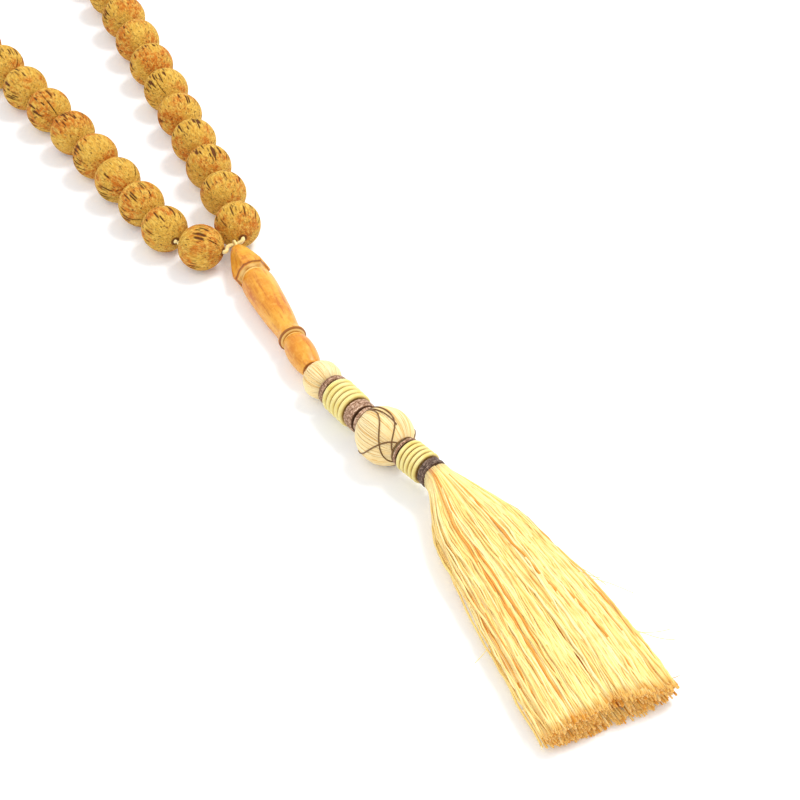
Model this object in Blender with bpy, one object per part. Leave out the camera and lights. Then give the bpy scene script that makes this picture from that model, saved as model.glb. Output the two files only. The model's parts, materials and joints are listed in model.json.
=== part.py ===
"""Misbaha prayer beads, laid on a flat surface: a loop of 33 wooden beads with two marker discs, a turned
leader, a silk-covered tassel head and a skirt of threads. Metres, +Z up, the origin under the middle."""

import math

import bmesh
import bpy
from mathutils import Matrix, Vector

MM = 0.001

# Clearances
FIT_GAP = 0.3 * MM  # between neighbours that touch on the real object
BORE_GAP = 0.4 * MM  # all round a cord in its hole
CORD_END_GAP = 0.3 * MM  # a cord's end to the pivot where it bends
REST_GAP = 0.15 * MM  # under what lies on the surface but isn't flat there

# Cord
CORD_D = 1.0 * MM
DOUBLED_CORD_D = 1.4 * MM  # two strands laid together inside the leader

# Beads and marker discs
BEAD_D = 10.0 * MM
BEAD_SIDES = 12
BEAD_MOUTH = 0.3 * MM  # the flat ring round each end of the hole
BEAD_RINGS = (0.56, 0.95)  # where the bead's end rings lie, in radians from the hole's axis
BEAD_BAND = 0.3  # half the middle band's length, as a share of the bead's radius
GROUP_BEADS = 11
MARKER_D = 7.0 * MM
MARKER_LENGTH = 3.0 * MM
MARKER_EDGE = 0.8 * MM
BEAD_GAP = 0.2 * MM  # between beads along the straight strands
TIP_GAP = 0.5 * MM  # where the strand curves round
HINGE_GAP = 0.4 * MM  # where the strand is free to bend
COUNTING_GAP = 1.4 * MM  # the slack that a bead slides along
LAST_BEND_GAP = CORD_D  # where the strand turns in to the leader
FAR_GAP = 1.0 * MM  # at the loop's far end, where the strand's spare length gathers
MOUTH_GAP = CORD_D + BEAD_GAP  # twice the straight cord outside the first and the last bead

# Leader, from its top down
CAP_LENGTH = 9.4 * MM
CAP_TOP_R = 1.5 * MM
CAP_SHOULDER_R = 2.9 * MM
CAP_RIM_R = 4.1 * MM  # at the six corners
CAP_RIM_THICKNESS = 0.9 * MM
CAP_RIM_BEVEL = 0.2 * MM
BODY_LENGTH = 22.9 * MM
BODY_NECK_R = 2.6 * MM
BODY_R = 3.55 * MM
BODY_WAIST_R = 2.55 * MM
BODY_RIM_R = 3.0 * MM
BODY_RIM_THICKNESS = 0.8 * MM
BODY_RIM_BEVEL = 0.3 * MM
FOOT_LENGTH = 10.1 * MM
FOOT_R = 3.0 * MM
FOOT_NECK_R = 2.3 * MM
FOOT_END_R = 2.1 * MM

# Tassel head
BALL_1_D = 8.0 * MM
BALL_1_LENGTH = 6.9 * MM
BALL_1_END_R = 1.9 * MM
BALL_2_D = 11.6 * MM
BALL_2_LENGTH = 11.3 * MM
BALL_2_END_R = 2.6 * MM
SILK_THICKNESS = 0.8 * MM
BUNDLE_R = 2.0 * MM
BAND_1_D, BAND_1_LENGTH = 6.6 * MM, 1.8 * MM
BAND_2_D, BAND_2_LENGTH = 6.4 * MM, 2.9 * MM
BAND_3_D, BAND_3_LENGTH = 6.2 * MM, 0.9 * MM
BAND_4_D, BAND_4_LENGTH = 6.0 * MM, 2.1 * MM
COIL_TURNS = 5
COIL_GROOVE = 0.45 * MM
COIL_1_D, COIL_1_LENGTH = 7.5 * MM, 7.2 * MM
COIL_2_D, COIL_2_LENGTH = 6.9 * MM, 5.6 * MM
HEAD_HINGE_GAP = 0.8 * MM  # bare cord where the head and the skirt bend

# Skirt. A section is a share of the length from the root, and in millimetres its side shift, half width,
# underside height and top height.
SKIRT_LENGTH = 69.0 * MM
SKIRT_ROOT_R = 2.7 * MM
SKIRT_SECTIONS = (
    (0.09, 0.3, 4.6, 2.2, 8.6),
    (0.18, 0.6, 7.6, 0.0, 8.2),
    (0.38, 0.7, 10.2, 0.0, 7.6),
    (0.61, 0.2, 12.2, 0.0, 7.2),
    (0.85, -0.8, 13.4, 0.0, 6.8),
    (1.00, -1.4, 13.8, 0.0, 6.2),
)

# Where things lie, before the whole is centred. The leader's top is at X = Y = 0.
BEAD_REST = BEAD_D / 2
CAP_REST = CAP_RIM_R * math.cos(math.pi / 6) + REST_GAP
BALL_1_REST = BALL_1_D / 2 + REST_GAP
BALL_2_REST = BALL_2_D / 2 + REST_GAP
LEADER_HEADING = (-4.1, -43.2)  # in plan
UPPER_HEAD_HEADING = (1.3, -20.0)
LOWER_HEAD_HEADING = (4.4, -20.8)
# The middle of the strand in plan, once round from the leader's top and back to it, in millimetres
LOOP_ROUTE = (
    (2.0, 0.9), (3.4, 6.5), (5.4, 17.4), (7.9, 38.0), (10.7, 58.0), (13.0, 78.0), (15.4, 98.0),
    (16.9, 110.0), (18.2, 122.0), (18.7, 134.0), (17.2, 146.0), (12.0, 156.5), (3.5, 162.5),
    (-6.5, 163.0), (-15.5, 157.5), (-21.5, 148.0), (-23.6, 136.0), (-23.0, 124.0), (-21.6, 112.0),
    (-18.9, 90.0), (-16.4, 70.6), (-14.1, 51.0), (-12.7, 31.0), (-11.3, 17.0), (-10.9, 6.6),
    (-7.1, 2.7), (-3.1, -1.2),
)
# The cord from the last bead to the first, turning in and then over the leader's mouth: its place in plan in
# millimetres, and how far it has come down from the beads' height to the leader's
TURN_IN_ROUTE = ((-2.75, -0.7, -0.12), (-2.2, 0.25, 0.0))
MOUTH_ROUTE = ((-1.2, 1.0, 0.4), (0.0, 1.2, 0.68), (1.2, 1.15, 0.48))
LOOP_PIVOT = (0.0, 1.0)  # in plan, in millimetres

# The strand's pieces of cord: name, the first and the last thing on it, and the empty it turns with
STRAND_CORDS = (
    ("cord_right_1", "bead_02", "bead_06", "hinge_right_1"),
    ("cord_right_2", "bead_07", "marker_1", "hinge_right_2"),
    ("cord_tip_right", "bead_12", "bead_16", "hinge_right_3"),
    ("cord_tip_left", "bead_17", "bead_22", "hinge_left_3"),
    ("cord_left_2", "marker_2", "bead_27", "hinge_left_2"),
    ("cord_left_1", "bead_28", "bead_32", "hinge_left_1"),
)
FIRST_PAST_FAR_END = "bead_17"
LAST_BEAD = "bead_33"
LEFT_CORDS = 3


def clear_scene():
    for obj in list(bpy.data.objects):
        bpy.data.objects.remove(obj, do_unlink=True)


def finish_material(name, color, roughness, metallic=0.0):
    material = bpy.data.materials.new(name)
    material.use_nodes = True
    shader = material.node_tree.nodes["Principled BSDF"]
    shader.inputs["Base Color"].default_value = (*color, 1.0)
    shader.inputs["Roughness"].default_value = roughness
    shader.inputs["Metallic"].default_value = metallic
    material.diffuse_color = (*color, 1.0)
    return material


# Shapes


def circle(radius, z, sides=20):
    """A ring of points round +Z that starts half a side past -Y, so that one flat faces -Y."""
    step = 2 * math.pi / sides
    turns = [(i + 0.5) * step - math.pi / 2 for i in range(sides)]
    return [Vector((radius * math.cos(a), radius * math.sin(a), z)) for a in turns]


def six_sided(corner_radius, z):
    """A hexagon with a point at each corner and each middle, twelve in all, and a side facing -Y."""
    flat = corner_radius * math.cos(math.pi / 6)
    points = []
    for i in range(12):
        a = (i + 0.5) * math.pi / 6 - math.pi / 2
        off_flat = (a + math.pi / 2 + math.pi / 6) % (math.pi / 3) - math.pi / 6
        radius = flat / math.cos(off_flat)
        points.append(Vector((radius * math.cos(a), radius * math.sin(a), z)))
    return points


def solid_from_rings(name, rings, bored):
    """One closed skin over a list of rings. A bored piece's rings go round its outside and down its hole."""
    bm = bmesh.new()
    loops = [[bm.verts.new(point) for point in ring] for ring in rings]
    pairs = list(zip(loops, loops[1:]))
    if bored:
        pairs.append((loops[-1], loops[0]))
    else:
        bm.faces.new(loops[0])
        bm.faces.new(loops[-1])
    for near, far in pairs:
        for i in range(len(near)):
            j = (i + 1) % len(near)
            bm.faces.new((near[i], near[j], far[j], far[i]))
    bmesh.ops.recalc_face_normals(bm, faces=bm.faces)
    mesh = bpy.data.meshes.new(name)
    bm.to_mesh(mesh)
    bm.free()
    mesh.shade_smooth()
    mesh.set_sharp_from_angle(angle=math.radians(40))
    return mesh


def turned(name, outline, bore_radius=None, sides=20):
    """A turned piece about +Z from (radius, height) points, with a straight hole when a bore is given."""
    rings = [circle(radius, z, sides) for radius, z in outline]
    if bore_radius:
        rings.append(circle(bore_radius, outline[-1][1], sides))
        rings.insert(0, circle(bore_radius, outline[0][1], sides))
    return solid_from_rings(name, rings, bored=bool(bore_radius))


def bead_mesh():
    """A round bead. Its middle is a band of flats that touch the true sphere, so that it rests on one."""
    r = BEAD_D / 2
    bore = CORD_D / 2 + BORE_GAP
    angles = (math.asin((bore + BEAD_MOUTH) / r), *BEAD_RINGS)
    half = [(math.sin(a) * r, math.cos(a) * r) for a in angles]
    band = (r / math.cos(math.pi / BEAD_SIDES), BEAD_BAND * r)
    upper = [*half, band]
    outline = [(x, -z) for x, z in upper] + [(x, z) for x, z in reversed(upper)]
    return turned("bead", outline, bore, BEAD_SIDES)


def marker_mesh():
    r, half = MARKER_D / 2, MARKER_LENGTH / 2
    shoulder = half - MARKER_EDGE
    outline = [(r - MARKER_EDGE, -half), (r, -shoulder), (r, shoulder), (r - MARKER_EDGE, half)]
    return turned("marker", outline, CORD_D / 2 + BORE_GAP, 16)


def ball_outline(radius, length, end_radius, steps=8):
    """An oval from end to end that leaves a flat of end_radius at each end."""
    start = math.asin(end_radius / radius)
    stretch = length / 2 / math.cos(start)
    angles = [start + (math.pi - 2 * start) * i / steps for i in range(steps + 1)]
    return [(radius * math.sin(a), -stretch * math.cos(a)) for a in angles]


def silk_ball_mesh(name, diameter, length, end_radius):
    """The wound cover of a ball, open at both ends where the thread turns in."""
    outer = ball_outline(diameter / 2, length, end_radius)
    skin = SILK_THICKNESS
    inner = ball_outline(diameter / 2 - skin, length - 2 * skin, end_radius - skin)
    rings = [circle(r, z) for r, z in outer] + [circle(r, z) for r, z in reversed(inner)]
    return solid_from_rings(name, rings, bored=True)


def core_mesh(name, diameter, length, end_radius):
    """The bead inside a silk ball."""
    skin = SILK_THICKNESS + FIT_GAP
    outline = ball_outline(diameter / 2 - skin, length - 2 * skin, end_radius - SILK_THICKNESS, 6)
    return turned(name, outline, DOUBLED_CORD_D / 2 + FIT_GAP, 16)


def band_mesh(name, diameter, length):
    r, soft = diameter / 2, 0.15 * length
    outline = [(r - soft, 0), (r, soft), (r, length - soft), (r - soft, length)]
    return turned(name, outline, BUNDLE_R + FIT_GAP)


def coil_mesh(name, diameter, length):
    """A sleeve with one rib for each turn of the cord wound on it."""
    pitch = length / COIL_TURNS
    r, valley = diameter / 2, diameter / 2 - COIL_GROOVE
    outline = [(valley, 0)]
    for turn in range(COIL_TURNS):
        start = turn * pitch
        outline += [(r, start + 0.3 * pitch), (r, start + 0.7 * pitch), (valley, start + pitch)]
    return turned(name, outline, BUNDLE_R + FIT_GAP, 16)


def bundle_mesh(name, ball_length, wound_length):
    """The threads through a part of the head: thin in the ball's core, thick under the windings."""
    thin = DOUBLED_CORD_D / 2
    outline = [(thin, 0), (thin, ball_length), (BUNDLE_R, ball_length + FIT_GAP), (BUNDLE_R, wound_length)]
    return turned(name, outline, sides=16)


def cap_mesh():
    bore = DOUBLED_CORD_D / 2 + BORE_GAP
    flare, rim = 0.45 * CAP_LENGTH, CAP_LENGTH - CAP_RIM_THICKNESS
    rings = [
        circle(bore, 0, 12),
        circle(CAP_TOP_R, 0, 12),
        circle(0.72 * CAP_SHOULDER_R, 0.18 * CAP_LENGTH, 12),
        six_sided(1.04 * CAP_SHOULDER_R, flare),
        six_sided(CAP_RIM_R, rim),
        six_sided(CAP_RIM_R, CAP_LENGTH - CAP_RIM_BEVEL),
        circle(BODY_NECK_R, CAP_LENGTH, 12),
        circle(bore, CAP_LENGTH, 12),
    ]
    return solid_from_rings("leader_cap", rings, bored=True)


def leader_body_mesh():
    rim = BODY_LENGTH - BODY_RIM_THICKNESS
    outline = [
        (BODY_NECK_R, 0),
        (BODY_NECK_R, 0.02 * BODY_LENGTH),
        (0.93 * BODY_R, 0.09 * BODY_LENGTH),
        (BODY_R, 0.18 * BODY_LENGTH),
        (0.96 * BODY_R, 0.4 * BODY_LENGTH),
        ((BODY_R + BODY_WAIST_R) / 2, 0.66 * BODY_LENGTH),
        (BODY_WAIST_R, 0.86 * BODY_LENGTH),
        (BODY_RIM_R, rim),
        (BODY_RIM_R, BODY_LENGTH - BODY_RIM_BEVEL),
        (BODY_RIM_R - BODY_RIM_BEVEL, BODY_LENGTH),
    ]
    return turned("leader_body", outline, DOUBLED_CORD_D / 2 + BORE_GAP, 18)


def leader_foot_mesh():
    outline = [
        (FOOT_NECK_R, 0),
        (0.93 * FOOT_R, 0.2 * FOOT_LENGTH),
        (FOOT_R, 0.42 * FOOT_LENGTH),
        (0.95 * FOOT_R, 0.65 * FOOT_LENGTH),
        (0.8 * FOOT_R, 0.88 * FOOT_LENGTH),
        (FOOT_END_R, FOOT_LENGTH),
    ]
    return turned("leader_foot", outline, DOUBLED_CORD_D / 2 + BORE_GAP, 18)


def skirt_section(across, side, half_width, low, high, points=20):
    """One ring of the skirt, from millimetres. Where it lies on the surface it is flat underneath."""
    ring = []
    for i in range(points):
        a = 2 * math.pi * (i + 0.5) / points
        out, up = math.cos(a), math.sin(a)
        swell = math.copysign(abs(out) ** 0.7, out)
        rise = (1 + math.copysign(abs(up) ** 0.8, up)) / 2
        if low == 0.0 and up < -0.6:
            rise = 0.0
        ring.append(Vector((side + half_width * swell, across, low + (high - low) * rise)) * MM)
    return ring


def skirt_mesh(root_height):
    """The bunch of threads as one body, from a domed root at X = Y = 0 down onto the surface."""
    root = root_height / MM
    r = SKIRT_ROOT_R / MM
    rings = []
    for depth, share in ((0.0, 0.3), (0.25, 0.65), (0.9, 0.92), (2.0, 1.0)):
        rings.append(skirt_section(-depth, 0.0, r * share, root - r * share, root + r * share))
    for share, side, half_width, low, high in SKIRT_SECTIONS:
        across = -share * SKIRT_LENGTH / MM
        rings.append(skirt_section(across, side, half_width, low, high))
    return solid_from_rings("skirt", rings, bored=False)


# The strand


def smooth_route(points, steps=24):
    """Points along a smooth curve through the route's own points."""
    ends = [points[0] * 2 - points[1], *points, points[-1] * 2 - points[-2]]
    curve = []
    for before, start, end, after in zip(ends, ends[1:], ends[2:], ends[3:]):
        for i in range(steps):
            t = i / steps
            pull = (end - before) * t + (before * 2 - start * 5 + end * 4 - after) * t**2
            curve.append(start + (pull + (start * 3 - before - end * 3 + after) * t**3) / 2)
    return [*curve, points[-1]]


def walk(curve, stretches):
    """Points on the curve, each a stretch from the one before, and the length left over."""
    stops, at = [curve[0]], 0
    for stretch in stretches:
        while at + 1 < len(curve) and (curve[at + 1] - stops[-1]).length < stretch:
            at += 1
        if at + 1 == len(curve):
            return stops, -1.0
        near, far = curve[at], curve[at + 1]
        low, high = 0.0, 1.0
        for _ in range(30):
            middle = (low + high) / 2
            if (near.lerp(far, middle) - stops[-1]).length < stretch:
                low = middle
            else:
                high = middle
        stops.append(near.lerp(far, low))
    left = (curve[-1] - stops[-1]).length
    return stops, left


def loop_curve(size):
    return smooth_route([Vector((x, y, 0.0)) * MM * size for x, y in LOOP_ROUTE])


def fitted_size(stretches):
    """How much larger or smaller the loop's route is drawn, so that the strand just fills it."""
    low, high = 0.5, 2.0
    for _ in range(40):
        size = (low + high) / 2
        if walk(loop_curve(size), stretches)[1] < 0:
            low = size
        else:
            high = size
    return high


def strand_order():
    """What is on the cord, in order: (name, length), with a marker disc between the groups."""
    order = []
    for number in range(1, 3 * GROUP_BEADS + 1):
        order.append((f"bead_{number:02d}", BEAD_D))
        if number in (GROUP_BEADS, 2 * GROUP_BEADS):
            order.append((f"marker_{number // GROUP_BEADS}", MARKER_LENGTH))
    return order


def strand_gaps(order):
    """The gap in front of each thing on the cord."""
    bends = {first for _, first, _, _ in STRAND_CORDS}
    gaps = []
    for name, _ in order:
        number = int(name[5:]) if name.startswith("bead") else 0
        if name == "bead_01":
            gaps.append(MOUTH_GAP)
        elif name == LAST_BEAD:
            gaps.append(LAST_BEND_GAP)
        elif name == FIRST_PAST_FAR_END:
            gaps.append(FAR_GAP)
        elif name == "bead_02":
            gaps.append(COUNTING_GAP)
        elif GROUP_BEADS + 2 <= number <= 2 * GROUP_BEADS:
            gaps.append(TIP_GAP)
        else:
            gaps.append(HINGE_GAP if name in bends else BEAD_GAP)
    return [*gaps, MOUTH_GAP]


# Placing


def aim(at, direction):
    """A place whose +Z runs along the direction and whose +Y is as near upright as it can be."""
    z = direction.normalized()
    x = Vector((0, 0, 1)).cross(z).normalized()
    y = z.cross(x)
    turn = Matrix((x, y, z)).transposed().to_4x4()
    return Matrix.Translation(at) @ turn


def pivot(name, matrix, parent=None):
    """An empty on a joint's axis. What turns about it is parented to it."""
    empty = bpy.data.objects.new(name, None)
    empty.empty_display_size = 5 * MM
    bpy.context.scene.collection.objects.link(empty)
    empty.parent = parent
    empty.matrix_world = matrix
    bpy.context.view_layer.update()
    return empty


def add(name, mesh, matrix, material, parent):
    obj = bpy.data.objects.new(name, mesh)
    bpy.context.scene.collection.objects.link(obj)
    if not mesh.materials:
        mesh.materials.append(material)
    obj.parent = parent
    obj.matrix_world = matrix
    bpy.context.view_layer.update()
    return obj


def add_cord(name, points, diameter, material, parent):
    """A limp cord through these world points."""
    curve = bpy.data.curves.new(name, "CURVE")
    curve.dimensions = "3D"
    curve.bevel_depth = diameter / 2
    curve.bevel_resolution = 2
    curve.use_fill_caps = True
    spline = curve.splines.new("POLY")
    spline.points.add(len(points) - 1)
    for place, point in zip(spline.points, points):
        place.co = (*point, 1.0)
    curve.materials.append(material)
    return add(name, curve, Matrix.Identity(4), material, parent)


def shortened(points, at_start, at_end):
    """The same route, ending this much sooner at each end."""
    first = points[0] + (points[1] - points[0]).normalized() * at_start
    last = points[-1] + (points[-2] - points[-1]).normalized() * at_end
    return [first, *points[1:-1], last]


def climbing(heading, length, from_height, to_height):
    """The direction that keeps a heading in plan and rises between two heights over a length."""
    rise = (to_height - from_height) / length
    flat = Vector((*heading, 0.0)).normalized() * math.sqrt(1 - rise**2)
    return flat + Vector((0.0, 0.0, rise))


def build_leader(whole, wood, cord_finish):
    """The leader's three turned pieces on the doubled cord. Returns where the head begins."""
    length = CAP_LENGTH + BODY_LENGTH + FOOT_LENGTH + 2 * FIT_GAP + HEAD_HINGE_GAP / 2
    along = climbing(LEADER_HEADING, length, CAP_REST, BALL_1_REST)
    at = Vector((0.0, 0.0, CAP_REST))
    leader = pivot("leader", aim(at, along), whole)
    add("leader_cap", cap_mesh(), aim(at, along), wood["leader"], leader)
    at = at + along * (CAP_LENGTH + FIT_GAP)
    add("leader_body", leader_body_mesh(), aim(at, along), wood["leader"], leader)
    at = at + along * (BODY_LENGTH + FIT_GAP)
    foot = pivot("foot_spin", aim(at, along), leader)
    add("leader_foot", leader_foot_mesh(), aim(at, along), wood["leader"], foot)
    at = at + along * FOOT_LENGTH
    ends = [Vector((0.0, 0.0, CAP_REST)) + along * FIT_GAP, at]
    add_cord("leader_cord", ends, DOUBLED_CORD_D, cord_finish, leader)
    return leader, at + along * HEAD_HINGE_GAP / 2


def build_half_head(half, at, heading, to_height, parent, ball, windings, finishes):
    """A silk ball on its core with the windings below it, all on one bundle of threads. Returns the end."""
    number, diameter, length, end_radius = ball
    wound = sum(FIT_GAP + wound_length for _, _, wound_length in windings)
    along = climbing(heading, length + wound + HEAD_HINGE_GAP, at.z, to_height)
    start = at + along * HEAD_HINGE_GAP / 2
    hinge = pivot(half, Matrix.Translation(at), parent)
    middle = aim(start + along * length / 2, along)
    cover = silk_ball_mesh(f"silk_ball_{number}", diameter, length, end_radius)
    add(f"silk_ball_{number}", cover, middle, finishes["silk"], hinge)
    core = core_mesh(f"core_{number}", diameter, length, end_radius)
    add(f"core_{number}", core, middle, finishes["core"], hinge)
    reach = length
    for name, width, wound_length in windings:
        make = coil_mesh if name.startswith("coil") else band_mesh
        finish = finishes["gimp" if name.startswith("coil") else "bronze"]
        place = aim(start + along * (reach + FIT_GAP), along)
        add(name, make(name, width, wound_length), place, finish, hinge)
        reach += FIT_GAP + wound_length
    bundle = f"bundle_{half.split('_')[1]}"
    add(bundle, bundle_mesh(bundle, length, reach), aim(start, along), finishes["silk_inside"], hinge)
    return hinge, start + along * (reach + HEAD_HINGE_GAP / 2)


def build_loop(whole, wood, cord_finish):
    """The strand: the yoke at the leader, three pieces of cord each side, and what is threaded on them."""
    order = strand_order()
    names = [name for name, _ in order]
    gaps = strand_gaps(order)
    stretches = [length + (gaps[i] + gaps[i + 1]) / 2 for i, (_, length) in enumerate(order)]
    size = fitted_size(stretches)
    in_plan, _ = walk(loop_curve(size), stretches)
    stops = [Vector((stop.x, stop.y, BEAD_REST)) for stop in in_plan]

    middle = Vector((*LOOP_PIVOT, 0.0)) * MM * size + Vector((0.0, 0.0, BEAD_REST))
    yoke = pivot("loop_swing", Matrix.Translation(middle), whole)
    yoke_route = [stops[-2], stops[-1]]
    for route, stretch in ((TURN_IN_ROUTE, size), (MOUTH_ROUTE, 1.0)):
        for x, y, down in route:
            height = BEAD_REST + (CAP_REST - BEAD_REST) * down
            yoke_route.append(Vector((x * MM * stretch, y * MM * stretch, height)))
    yoke_route += [stops[0], stops[1]]
    yoke_route = shortened(yoke_route, CORD_END_GAP, CORD_END_GAP)
    add_cord("cord_yoke", yoke_route, CORD_D, cord_finish, yoke)

    carried_by = {"bead_01": yoke, LAST_BEAD: yoke}
    left = STRAND_CORDS[-LEFT_CORDS:]
    for side, cords in (("right", STRAND_CORDS[:-LEFT_CORDS]), ("left", left[::-1])):
        parent = yoke
        for name, first, last, hinge_name in cords:
            start, end = names.index(first), names.index(last) + 1
            at = stops[start if side == "right" else end]
            parent = pivot(hinge_name, Matrix.Translation(at), parent)
            route = shortened(stops[start : end + 1], CORD_END_GAP, CORD_END_GAP)
            add_cord(name, route, CORD_D, cord_finish, parent)
            carried_by.update({thing: parent for thing in names[start:end]})

    bead, marker = bead_mesh(), marker_mesh()
    for i, (name, length) in enumerate(order):
        along = (stops[i + 1] - stops[i]).normalized()
        at = stops[i] + along * (gaps[i] + length) / 2
        is_bead = name.startswith("bead")
        holder = pivot(f"spin_{name}", aim(at, along), carried_by[name])
        finish = wood["bead" if is_bead else "marker"]
        add(name, bead if is_bead else marker, aim(at, along), finish, holder)


def stand_on_origin(whole):
    """Moves everything together until the middle of the whole is over the origin."""
    bpy.context.view_layer.update()
    graph = bpy.context.evaluated_depsgraph_get()
    points = []
    for obj in bpy.data.objects:
        if obj.type != "EMPTY":
            solid = obj.evaluated_get(graph)
            points += [solid.matrix_world @ vertex.co for vertex in solid.to_mesh().vertices]
            solid.to_mesh_clear()
    for axis in (0, 1):
        values = [point[axis] for point in points]
        whole.location[axis] = -(min(values) + max(values)) / 2


def main():
    clear_scene()
    wood = {
        "bead": finish_material("bead_wood", (0.58, 0.33, 0.07), 0.7),
        "marker": finish_material("marker_wood", (0.50, 0.26, 0.06), 0.65),
        "leader": finish_material("leader_wood", (0.80, 0.42, 0.08), 0.45),
    }
    cord_finish = finish_material("stringing_cord", (0.85, 0.72, 0.38), 0.8)
    head_finishes = {
        "silk": finish_material("cream_silk", (0.93, 0.80, 0.50), 0.5),
        "silk_inside": finish_material("bundle_silk", (0.90, 0.74, 0.40), 0.6),
        "core": finish_material("core_wood", (0.62, 0.45, 0.25), 0.7),
        "bronze": finish_material("bronze_thread", (0.33, 0.20, 0.13), 0.4, 0.6),
        "gimp": finish_material("gimp_cord", (0.90, 0.75, 0.28), 0.5),
    }
    skirt_silk = finish_material("skirt_silk", (0.95, 0.76, 0.36), 0.5)

    whole = pivot("misbaha", Matrix.Identity(4))
    leader, head_start = build_leader(whole, wood, cord_finish)
    build_loop(leader, wood, cord_finish)
    small_ball = (1, BALL_1_D, BALL_1_LENGTH, BALL_1_END_R)
    upper_windings = (
        ("band_1", BAND_1_D, BAND_1_LENGTH),
        ("coil_1", COIL_1_D, COIL_1_LENGTH),
        ("band_2", BAND_2_D, BAND_2_LENGTH),
    )
    upper, middle = build_half_head(
        "head_upper", head_start, UPPER_HEAD_HEADING, BALL_2_REST, leader, small_ball,
        upper_windings, head_finishes,
    )
    large_ball = (2, BALL_2_D, BALL_2_LENGTH, BALL_2_END_R)
    lower_windings = (
        ("band_3", BAND_3_D, BAND_3_LENGTH),
        ("coil_2", COIL_2_D, COIL_2_LENGTH),
        ("band_4", BAND_4_D, BAND_4_LENGTH),
    )
    lower, root = build_half_head(
        "head_lower", middle, LOWER_HEAD_HEADING, BALL_2_REST, upper, large_ball,
        lower_windings, head_finishes,
    )
    swing = pivot("skirt_swing", Matrix.Translation(root), lower)
    at_root = Matrix.Translation((root.x, root.y - HEAD_HINGE_GAP / 2, 0.0))
    add("skirt", skirt_mesh(root.z), at_root, skirt_silk, swing)
    stand_on_origin(whole)


main()
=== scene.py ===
"""The looks of the misbaha: turned and pored wooden beads, a carved leader, a thread-wound tassel head and a
skirt of silk threads, on a pale floor in soft light. Metres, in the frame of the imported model."""

import json
import math

import bpy
import numpy as np
from mathutils import Matrix, Vector


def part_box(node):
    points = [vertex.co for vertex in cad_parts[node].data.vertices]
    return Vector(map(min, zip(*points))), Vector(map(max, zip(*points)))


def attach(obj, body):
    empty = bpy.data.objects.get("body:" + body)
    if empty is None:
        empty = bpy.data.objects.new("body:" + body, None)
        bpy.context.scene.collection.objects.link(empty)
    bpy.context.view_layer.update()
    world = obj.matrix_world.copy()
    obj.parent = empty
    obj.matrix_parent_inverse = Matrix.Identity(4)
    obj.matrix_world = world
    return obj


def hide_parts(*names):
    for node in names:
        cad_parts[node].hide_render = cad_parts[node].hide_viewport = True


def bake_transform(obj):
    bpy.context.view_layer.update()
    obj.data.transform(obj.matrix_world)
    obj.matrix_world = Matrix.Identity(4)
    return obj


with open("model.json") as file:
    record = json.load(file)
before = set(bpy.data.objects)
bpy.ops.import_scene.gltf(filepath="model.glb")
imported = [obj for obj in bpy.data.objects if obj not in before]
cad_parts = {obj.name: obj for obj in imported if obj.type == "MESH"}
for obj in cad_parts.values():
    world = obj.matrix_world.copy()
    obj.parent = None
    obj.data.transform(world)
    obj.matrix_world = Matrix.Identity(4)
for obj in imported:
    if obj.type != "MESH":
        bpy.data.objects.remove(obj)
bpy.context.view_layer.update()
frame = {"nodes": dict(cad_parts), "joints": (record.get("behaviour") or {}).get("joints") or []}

MM = 0.001
joints = {joint["name"]: joint for joint in frame["joints"]}

# Sizes that the wood and threads share with the model
BEAD_R = 5.0 * MM
BEAD_BORE_R = 0.9 * MM
MARKER_R, MARKER_LENGTH = 3.5 * MM, 3.0 * MM
FIT_GAP = 0.3 * MM
CAP_LENGTH, CAP_TOP_R, CAP_SHOULDER_R, CAP_RIM_R = 9.4 * MM, 1.5 * MM, 2.9 * MM, 4.1 * MM
BODY_LENGTH, BODY_NECK_R, BODY_R = 22.9 * MM, 2.6 * MM, 3.55 * MM
BODY_WAIST_R, BODY_RIM_R = 2.55 * MM, 3.0 * MM
FOOT_LENGTH, FOOT_R = 10.1 * MM, 3.0 * MM
LEADER_BORE_R = 1.1 * MM
HINGE_HALF_GAP = 0.4 * MM  # bare thread each side of the pivots in the tassel
CORD_R = 0.5 * MM

BALL_1 = {"radius": 4.0 * MM, "length": 6.9 * MM, "end": 1.9 * MM}
BALL_2 = {"radius": 5.8 * MM, "length": 11.3 * MM, "end": 2.6 * MM}
# Tassel head, after each ball: (name, length, outer radius), each a fit gap after the one before
UPPER_WINDINGS = (
    ("band_1", 1.8 * MM, 3.3 * MM), ("coil_1", 7.2 * MM, 3.75 * MM), ("band_2", 2.9 * MM, 3.2 * MM),
)
LOWER_WINDINGS = (
    ("band_3", 0.9 * MM, 3.1 * MM), ("coil_2", 5.6 * MM, 3.45 * MM), ("band_4", 2.1 * MM, 3.0 * MM),
)
STRAY_TURNS = {"band_1": 10, "band_2": 15, "band_3": 4, "band_4": 1}
COIL_TURNS = 5
COIL_CORD = 0.43  # radius of the gimp cord, as a share of a turn's length
WINDING_BORE_R = 2.3 * MM
SILK_R = 0.17 * MM
BRONZE_R = 0.17 * MM
NET_R = 0.145 * MM
BALL_TUCK = 0.32 * MM  # how far a ball's silk stays short of its core's ends, both ends together

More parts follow.
